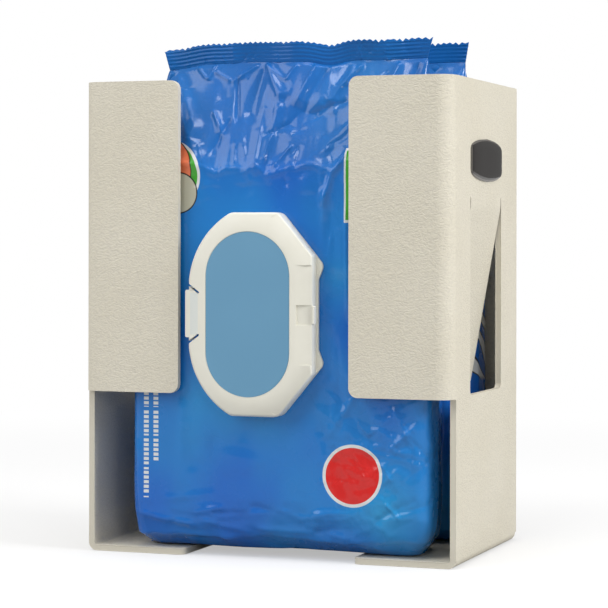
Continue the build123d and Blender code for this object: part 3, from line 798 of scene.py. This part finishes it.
front_plan = rounded_plan(236, 12, 40, 70)
front_rows = (8, 30, 180, 112)
front_pouch = grid_mesh("front_film_pouch", pack_surface(FRONT_PACK, front_plan, front_rows))
cut_mouth(front_pouch, FRONT_PACK["mid_y"] - FRONT_PACK["half_d"])
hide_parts("front_pouch")
front_film = film_finish("printed_film_front", front_print)
seal_film = film_finish("crimped_film", depth=0.64, gloss=0.25)
dress(front_pouch, front_film, "front_pack")


SEAL_DENTS = (26, ((-70, 84), (264, 276)), (230, 310), (4, 12), (0.5, 1.5), (0.2, 0.7), 0.6)


def sawn_edge(x):
    """Cut of the toothed edge: a triangle wave between 0 and one tooth down."""
    return TOOTH_H * (np.abs(np.mod(x / TOOTH, 1.0) - 0.5) * 2 - 1)


def seal_band(pack, columns=430, rows=46):
    """Crimped band: a thin flat tube whose ridges run along it, and whose upper edge is cut in teeth.

    Height is the seal line plus the share of the band. The ridges are a sine of that height that fades in
    and out along the band, and the teeth a triangle wave. Both ends flare out towards the top.
    """
    u = np.linspace(0, 1, columns)
    share = np.linspace(0, 1, rows)[:, None]
    base_x = pack["seal_x0"] + (pack["seal_x1"] - pack["seal_x0"]) * u
    flare = np.sign(u - 0.5) * np.abs(2 * u - 1) ** 12 * pack["flare"]
    x = base_x + share * flare
    level, line_y = seal_line(pack, base_x)
    teeth = sawn_edge(base_x) * (0.8 + 0.3 * waves(base_x, 0 * u, 9, 7))
    z = level - 0.4 + share * (SEAL_H + 0.4 + teeth * smooth((share - 0.75) * 4))
    pressed = 0.25 + 0.75 * smooth(0.55 + 0.8 * waves(base_x, 0 * u, 44, pack["seed"] + 3))
    ridge = 0.17 * np.sin(share * SEAL_H * 2 * math.pi / RIDGE)
    ridge = ridge * smooth(share * 9) * smooth((1 - share) * 6) * pressed
    curl = 0.7 * share**2 * waves(x, 0 * x, 26, pack["seed"] + 9) - pack["lean"] * share
    dents = 0.5 * strewn_folds(x, z, pack["seed"] + 4, *SEAL_DENTS)
    y = line_y + ridge + curl + dents
    thick = 0.28 * np.minimum(1, np.minimum(share, 1 - share) * rows)
    front = np.stack([x, y - thick, z], axis=-1)
    back = np.stack([x, y + thick, z], axis=-1)
    return np.concatenate([front, back[:, ::-1]], axis=1)


front_seal = grid_mesh("front_crimped_seal", seal_band(FRONT_PACK))
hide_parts("front_top_seal")
dress(front_seal, seal_film, "front_pack")


REAR_SLACK_STREWN = (47, 30, ((-72, 82), (222, 268)), (250, 290), (14, 44), (1.4, 4.5), (0.2, 0.9), 0.5)
REAR_STREWN = (48, 90, ((0, 420), (8, 250)), (-60, 60), (10, 30), (1.2, 4.0), (0.1, 0.45), 0.4)


def rear_relief(grid, normal, arc, shoulder):
    """Creases of the rear pack: slack top and a general crumple."""
    x, z = grid[..., 0], grid[..., 2]
    slack = smooth((z - shoulder + 2) / 5)
    h = 0.5 * waves(arc, z, 55, 43) * (0.5 + slack)
    h += slack * strewn_folds(x, z, *REAR_SLACK_STREWN)
    h += strewn_folds(arc, z, *REAR_STREWN)
    return h * (1 - closure_pad(x, z, CLOSURE_MARGIN) * (grid[..., 1] < REAR_MIDDLE_Y))


def level_edge(x):
    """Height at which the film leaves the rear cloths: level all along."""
    return STACK_TOP + 0 * x


REAR_LO, REAR_HI = box_of("rear_pouch")
REAR_MIDDLE_Y = float(REAR_LO[1] + REAR_HI[1]) / 2
REAR_PACK = dict(FRONT_PACK)
REAR_PACK.update({
    "mid_y": REAR_MIDDLE_Y, "seal_x0": -62.0, "seal_x1": 83.6, "seal_z": 267.2, "seal_y": -5.0, "dip_x": 10.0,
    "bulge": 6.0, "bulge_y": 28.0, "bulge_side": -1, "flare": 2.2,
    "seed": 300, "relief": rear_relief, "edge": level_edge,
    "limits_y": (float(REAR_LO[1]), float(REAR_HI[1]) + 1.5),
})
rear_plan = rounded_plan(130, 8, 30, 90)
rear_rows = (8, 18, 120, 70)
rear_pouch = grid_mesh("rear_film_pouch", pack_surface(REAR_PACK, rear_plan, rear_rows))
cut_mouth(rear_pouch, REAR_MIDDLE_Y - REAR_PACK["half_d"])
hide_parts("rear_pouch")
dress(rear_pouch, film_finish("printed_film_rear", side_print), "rear_pack")
rear_seal = grid_mesh("rear_crimped_seal", seal_band(REAR_PACK))
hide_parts("rear_top_seal")
dress(rear_seal, seal_film, "rear_pack")

# Folded seams of the packs. The foot seal is crimped like the top one and folded flat under the pack. The
# back fin is one lapped strip, pressed flat and ribbed across.

SEAM_T = 0.5


def foot_band(node, columns=200, rows=30):
    """Flat band under the pack: its ridges are a sine of the place across it, and one edge is toothed."""
    low, high = box_of(node)
    x = np.linspace(low[0], high[0], columns)[None, :]
    share = np.linspace(0, 1, rows)[:, None]
    teeth = sawn_edge(x) * smooth((share - 0.75) * 4)
    y = low[1] + share * (high[1] - low[1] + teeth)
    middle = (low[2] + high[2]) / 2 + 0.12 * np.sin((y - low[1]) * 2 * math.pi / RIDGE)
    thick = 0.22 * np.minimum(1, np.minimum(share, 1 - share) * rows)
    sides = [np.stack(np.broadcast_arrays(x, y, middle + way * thick), axis=-1) for way in (-1, 1)]
    return np.concatenate([sides[0], sides[1][:, ::-1]], axis=1)


def fin_strip(node, columns=24, rows=260):
    """Upright strip on the pack's back: fine ribs across it, and edges that wander by a slow wave."""
    low, high = box_of(node)
    z = np.linspace(low[2], high[2], rows)[:, None]
    u = np.linspace(-1, 1, columns)[None, :]
    half = (high[0] - low[0]) / 2 - 0.2 + 0.15 * waves(z, 0 * z, 40, 91)
    x = (low[0] + high[0]) / 2 + u * half + 0.3 * waves(z, 0 * z, 70, 92)
    rib = 0.06 * np.sin(z * 2 * math.pi / 1.6)
    ends = smooth(np.minimum(z - low[2], high[2] - z) / 0.8)
    thick = SEAM_T / 2 * np.minimum(1, (1 - np.abs(u)) * columns / 2) * ends
    middle = low[1] + SEAM_T / 2 + rib
    sides = [np.stack(np.broadcast_arrays(x, middle + way * thick, z), axis=-1) for way in (-1, 1)]
    return np.concatenate([sides[0], sides[1][:, ::-1]], axis=1)


for pack in ("front", "rear"):
    foot_seal = grid_mesh(f"{pack}_folded_foot_seal", foot_band(f"{pack}_bottom_seal"))
    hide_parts(f"{pack}_bottom_seal")
    dress(foot_seal, seal_film, f"{pack}_pack")
    fin = grid_mesh(f"{pack}_back_fin", fin_strip(f"{pack}_back_seam"))
    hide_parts(f"{pack}_back_seam")
    dress(fin, seal_film, f"{pack}_pack")

# Cloths. Thirty moist non-woven cloths, each 12 by 8 inches and folded once, lie flat in the pack one behind
# the other. The first has been drawn up a little into the mouth.

CLOTHS = 30
TUFT_HALF = (13.0, 31.0)
BLOCK_SET_BACK = np.array([0, 3.2, 8.0])


def cloth_block(low, high):
    """Stack as rings from front to back: each cloth is a rounded outline that swells between two grooves.

    The cloths are shifted a little against each other, and the first and last rings close to the middle.
    """
    pick = np.random.default_rng(5)
    kx, kz, cx, cz = rounded_plan(60, 5, 60, 60)
    middle, half = (low + high) / 2, (high - low) / 2 - 0.5
    corner = 7.0
    step = np.array([0.0, 0.3, 0.7, 1.0])
    groove = np.array([0.9, 0.1, 0.1, 0.9])
    y = low[1] + (np.arange(CLOTHS)[:, None] + step[None, :]).ravel() * (high[1] - low[1]) / CLOTHS
    inset = np.tile(groove, CLOTHS) + np.repeat(pick.uniform(0, 0.5, CLOTHS), len(step))
    shift = np.repeat(pick.uniform(-0.3, 0.3, (CLOTHS, 2)), len(step), axis=0)
    rings = []
    for place, taken, (dx, dz) in zip(y, inset, shift):
        x = middle[0] + dx + kx * (half[0] - taken - corner) + cx * corner
        z = middle[2] + dz + kz * (half[2] - taken - corner) + cz * corner
        rings.append(np.stack([x, np.full_like(x, place), z], axis=-1))
    ends = []
    for ring in (rings[0], rings[-1]):
        centre = ring.mean(axis=0)
        ends.append([centre + (ring - centre) * scale for scale in (0.001, 0.4, 0.8)])
    return np.array(ends[0] + rings + ends[1][::-1])


def drawn_cloth(low, high, front_y, columns=300, rows=200):
    """One cloth folded at its right edge, both layers flat in the pack, with a crumpled tuft in the mouth.

    Along the cloth the place runs to the right on the front layer and back on the rear layer, which stands a
    little behind. The tuft is a smooth dome over the mouth with folds that run into its middle.
    """
    along = np.linspace(0, 1, columns)[None, :]
    x = low[0] + 1 + (high[0] - low[0] - 2) * (1 - np.abs(2 * along - 1))
    z = np.linspace(low[2] + 9.0, high[2] - 0.5, rows)[:, None]
    u, v = (x - CLOSURE_X) / TUFT_HALF[0], (z - CLOSURE_Z) / TUFT_HALF[1]
    dome = smooth(1.15 - (np.abs(u) ** 3 + np.abs(v) ** 3) ** (1 / 3))
    turn = np.arctan2(v, u + 0.15)
    folds = 0.55 * np.sin(turn * 5 + 2 * v) + 0.35 * np.sin(turn * 9 + 3 * u)
    folds = folds + 0.3 * waves(x * 2.2, z, 16, 83)
    layer = np.where(along > 0.5, 0.35, 0.0)
    y = front_y + 3.0 + 5.0 * smooth((26 - z) / 20) + layer
    y = y - dome * (3.4 + folds) + 0.08 * waves(x, z, 24, 84)
    return np.stack(np.broadcast_arrays(x, y, z), axis=-1)


def cloth_finish():
    """Moist white non-woven: a fine felted fibre with a pattern of small embossed dots."""
    material, shader, place, (x, y, z) = new_finish("moist_cloth")
    fibre = place.noise(0.7, 4.0, 0.65, stretch=(1, 1, 0.35))
    dots = (x * (2 * math.pi / 2.4)).math("SINE") * (z * (2 * math.pi / 2.4)).math("SINE")
    finish_with(
        shader,
        Base_Color=fibre.ramp(0.3, 0.7).mix((0.72, 0.75, 0.77, 1), (0.84, 0.86, 0.87, 1)),
        Roughness=0.72 + fibre * 0.1,
        Normal=(fibre * 0.6 + dots.ramp(0.3, 0.9) * 0.5).bump(0.18),
    )
    return material


def glue_finish():
    """Hot melt glue: pale amber, slightly glossy, with slow ripples."""
    material, shader, place, _ = new_finish("hot_melt_glue")
    ripple = place.noise(2.0, 3.0, 0.6)
    finish_with(
        shader,
        Base_Color=ripple.ramp(0.3, 0.7).mix((0.62, 0.58, 0.44, 1), (0.72, 0.68, 0.53, 1)),
        Roughness=0.3 + ripple * 0.08,
        Normal=ripple.bump(0.05),
    )
    return material


moist_cloth = cloth_finish()
glue = glue_finish()
for pack in ("front", "rear"):
    low, high = box_of(f"{pack}_cloth_stack")
    pouch_y = float(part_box(f"{pack}_pouch")[0][1] / MM)
    stack = grid_mesh(f"{pack}_folded_cloths", cloth_block(low + BLOCK_SET_BACK, high))
    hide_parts(f"{pack}_cloth_stack")
    dress(stack, moist_cloth, f"{pack}_pack")
    drawn = grid_mesh(f"{pack}_drawn_cloth", drawn_cloth(low, high, pouch_y), join_rows=False)
    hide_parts(f"{pack}_first_cloth")
    dress(drawn, moist_cloth, f"{pack}_pack")
    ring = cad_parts[f"{pack}_bond_ring"]
    ring.data.materials.clear()
    ring.data.materials.append(glue)

# Flip-top closures. Ivory moulding glued over the mouth of each pack: a base with two ears, a lid on a living
# hinge with a thin lift tab, a snap spring, and an oval label in the lid.

TAB_EDGE_X = CLOSURE_X - 29.4
TAB_HALF_H = 12.6
LID_SOFT_EDGE = 0.8
LABEL_HALF = (LABEL_HI - LABEL_LO) / 2
LID_CROWN = 0.020


def moulding_finish():
    """Ivory polypropylene with a soft even gloss and faint flow marks; the thin lift tab is painted a cooler
    grey, as painted shade.

    The lid's crown beyond the label is a height that falls with the square of the distance.
    """
    material, shader, place, (x, y, z) = new_finish("ivory_moulding")
    flow = place.noise(14.0, 2.0, 0.5)
    spark = place.noise(0.35, 2.0, 0.5)
    tint = flow.ramp(0.3, 0.7).mix((0.84, 0.82, 0.72, 1), (0.86, 0.84, 0.745, 1))
    u, v = x - CLOSURE_X, z - CLOSURE_Z
    # The lift tab is mixed towards a cool grey: painted shade on the lower tab.
    tab = x.within(TAB_EDGE_X - 3.2, TAB_EDGE_X + 1.4) * abs(v).ramp(TAB_HALF_H - 1.0, TAB_HALF_H - 2.0)
    beyond = -1.0 * inside_rounded(u, v, float(LABEL_HALF[0]), float(LABEL_HALF[2]), float(LABEL_HALF[0]) - 1)
    beyond = (beyond.most(0.0)).least(13.0)
    crown = -1.0 * LID_CROWN * beyond * beyond
    finish_with(
        shader,
        Base_Color=(tab * 0.8).mix(tint, (0.74, 0.78, 0.76, 1)),
        Roughness=0.34 + spark * 0.08,
        Specular_IOR_Level=0.4,
        Normal=(spark * 0.02 + flow * 0.03 + crown).bump(1.0),
    )
    return material


def label_finish():
    """Plain light blue label film with a faint tooth."""
    material, shader, place, _ = new_finish("label_film")
    tooth = place.noise(0.8, 3.0, 0.6)
    shade = place.noise(40.0, 1.0).ramp(0.3, 0.7).mix((0.150, 0.345, 0.525, 1), (0.158, 0.358, 0.540, 1))
    finish_with(
        shader,
        Base_Color=shade,
        Roughness=0.46 + tooth * 0.1,
        Specular_IOR_Level=0.3,
        Normal=tooth.bump(0.02, 0.5),
    )
    return material


moulding = moulding_finish()
label_film = label_finish()
for pack in ("front", "rear"):
    lid_body = "front_lid" if pack == "front" else "rear_pack"
    for node, name, width, segments, body, finish, slot in (
        ("closure_base", "closure_plate", 0.3, 2, f"{pack}_pack", moulding, "closure_moulding"),
        ("lid", "flip_lid", LID_SOFT_EDGE, 4, lid_body, moulding, "closure_moulding"),
        ("snap_spring", "snap_strap", 0.3, 2, lid_body, moulding, "closure_moulding"),
        ("lid_label", "oval_label", 0.08, 2, lid_body, label_film, "lid_label"),
    ):
        dress(finished_copy(f"{pack}_{node}", f"{pack}_{name}", width, segments), finish, body)

# Studio. A white floor, a white surround, and broad soft lamps. The strongest stands to the right of the
# object.

FLOOR_HALF = 3.0
NEAR_FLOOR = 0.30
FAR_FLOOR = 0.95
FLOOR_DROP = 0.0002


def floor_finish():
    """White floor that keeps the soft contact shadow, and turns to even white away from the object."""
    material = bpy.data.materials.new("white_floor")
    material.use_nodes = True
    tree = material.node_tree
    shader = tree.nodes["Principled BSDF"]
    ray = tree.nodes.new("ShaderNodeLightPath")
    seen, mirrored = Value(ray.outputs["Is Camera Ray"]), Value(ray.outputs["Is Glossy Ray"])
    shade = seen.mix((0.40, 0.40, 0.39, 1), (0.86, 0.86, 0.86, 1))
    finish_with(shader, Base_Color=shade, Roughness=0.9, Specular_IOR_Level=0.0)
    place = Value(tree.nodes.new("ShaderNodeTexCoord").outputs["Object"])
    distance = place.add("ShaderNodeVectorMath", {0: place}, output=1, operation="LENGTH")
    away = distance.ramp(NEAR_FLOOR, FAR_FLOOR)
    x, y = (Value(place.add("ShaderNodeSeparateXYZ", {0: place}).socket.node.outputs[i]) for i in range(2))
    half_w, half_d = (float(half) * MM for half in HOLDER_HI[:2])
    clear_of_holder = (-1.0 * inside_rounded(x, y, half_w, half_d, 0.02)).ramp(0.0, 0.04)
    white = place.add("ShaderNodeEmission", {"Color": (1, 1, 1, 1), "Strength": 1.0})
    share = seen * (0.45 + away * 0.55) + mirrored * clear_of_holder * 0.5
    mixed = share.add("ShaderNodeMixShader", {0: share, 1: Value(shader.outputs[0]), 2: white})
    tree.links.new(mixed.socket, tree.nodes["Material Output"].inputs["Surface"])
    return material


floor_mesh = bpy.data.meshes.new("studio_floor")
corners = [(sx * FLOOR_HALF, sy * FLOOR_HALF, -FLOOR_DROP) for sx, sy in ((-1, -1), (1, -1), (1, 1), (-1, 1))]
floor_mesh.from_pydata(corners, [], [(0, 1, 2, 3)])
floor = bpy.data.objects.new("studio_floor", floor_mesh)
bpy.context.collection.objects.link(floor)
floor.data.materials.append(floor_finish())


def lamp(name, place, aim, size, watts):
    """Square soft lamp at a place, turned to the point it is aimed at."""
    light = bpy.data.lights.new(name, "AREA")
    light.shape = "SQUARE"
    light.size = size
    light.energy = watts
    lamp_object = bpy.data.objects.new(name, light)
    bpy.context.collection.objects.link(lamp_object)
    lamp_object.location = place
    lamp_object.rotation_euler = (Vector(aim) - Vector(place)).to_track_quat("-Z", "Y").to_euler()


KEY_WATTS = 17.0
FILL_WATTS = 11.5
TOP_WATTS = 6.5
SPARK_WATTS = 2.2
SOFT_LEVEL = 0.50
lamp("key", (1.5, -0.2, 0.9), (0, 0, 0.12), 0.5, KEY_WATTS)
lamp("fill", (-1.1, -1.05, 0.95), (0, 0, 0.12), 1.2, FILL_WATTS)
lamp("top", (0.1, -0.1, 1.7), (0, 0, 0.1), 1.0, TOP_WATTS)
lamp("high_spark", (-0.05, -0.85, 1.5), (0, 0, 0.2), 0.36, SPARK_WATTS * 1.4)
lamp("side_spark", (0.95, -1.25, 0.45), (0, 0, 0.15), 0.14, SPARK_WATTS / 2)

world = bpy.data.worlds.new("studio")
bpy.context.scene.world = world
world.use_nodes = True
tree = world.node_tree
seen = Value(tree.nodes.new("ShaderNodeLightPath").outputs["Is Camera Ray"])
glossy, clear = (Value(seen.socket.node.outputs[kind]) for kind in ("Is Glossy Ray", "Is Transmission Ray"))
direction = Value(tree.nodes.new("ShaderNodeTexCoord").outputs["Generated"])
up = Value(direction.add("ShaderNodeSeparateXYZ", {0: direction}).socket.node.outputs[2])
mirror_level = 0.18 + up.ramp(0.0, 0.8) * 0.2
soft_level = 0.45 * SOFT_LEVEL + up.ramp(-0.2, 0.8) * (0.8 * SOFT_LEVEL)
seen = (seen + clear).least(1.0)
strength = seen + (1 - seen) * (glossy * mirror_level + (1 - glossy) * soft_level)
background = tree.nodes["Background"]
background.inputs["Color"].default_value = (1, 1, 1, 1)
tree.links.new(strength.socket, background.inputs["Strength"])

bpy.context.scene.view_settings.view_transform = "Standard"

# Camera at the photograph's place: level, turned 20 degrees, with the horizon above the frame's middle.

LENS = 134.22
SENSOR_WIDTH = 36.0
FRAME_DROP = -0.1159
CAMERA_PLACE = (0.42805, -1.17933, 0.17234)
CAMERA_ROLL = -0.0015
CAMERA_TURN = math.radians(20.0)

camera_data = bpy.data.cameras.new("camera")
camera_data.lens = LENS
camera_data.sensor_width = SENSOR_WIDTH
camera_data.shift_y = FRAME_DROP
camera = bpy.data.objects.new("camera", camera_data)
bpy.context.collection.objects.link(camera)
camera.location = CAMERA_PLACE
camera.rotation_euler = (math.pi / 2, CAMERA_ROLL, CAMERA_TURN)
bpy.context.scene.camera = camera
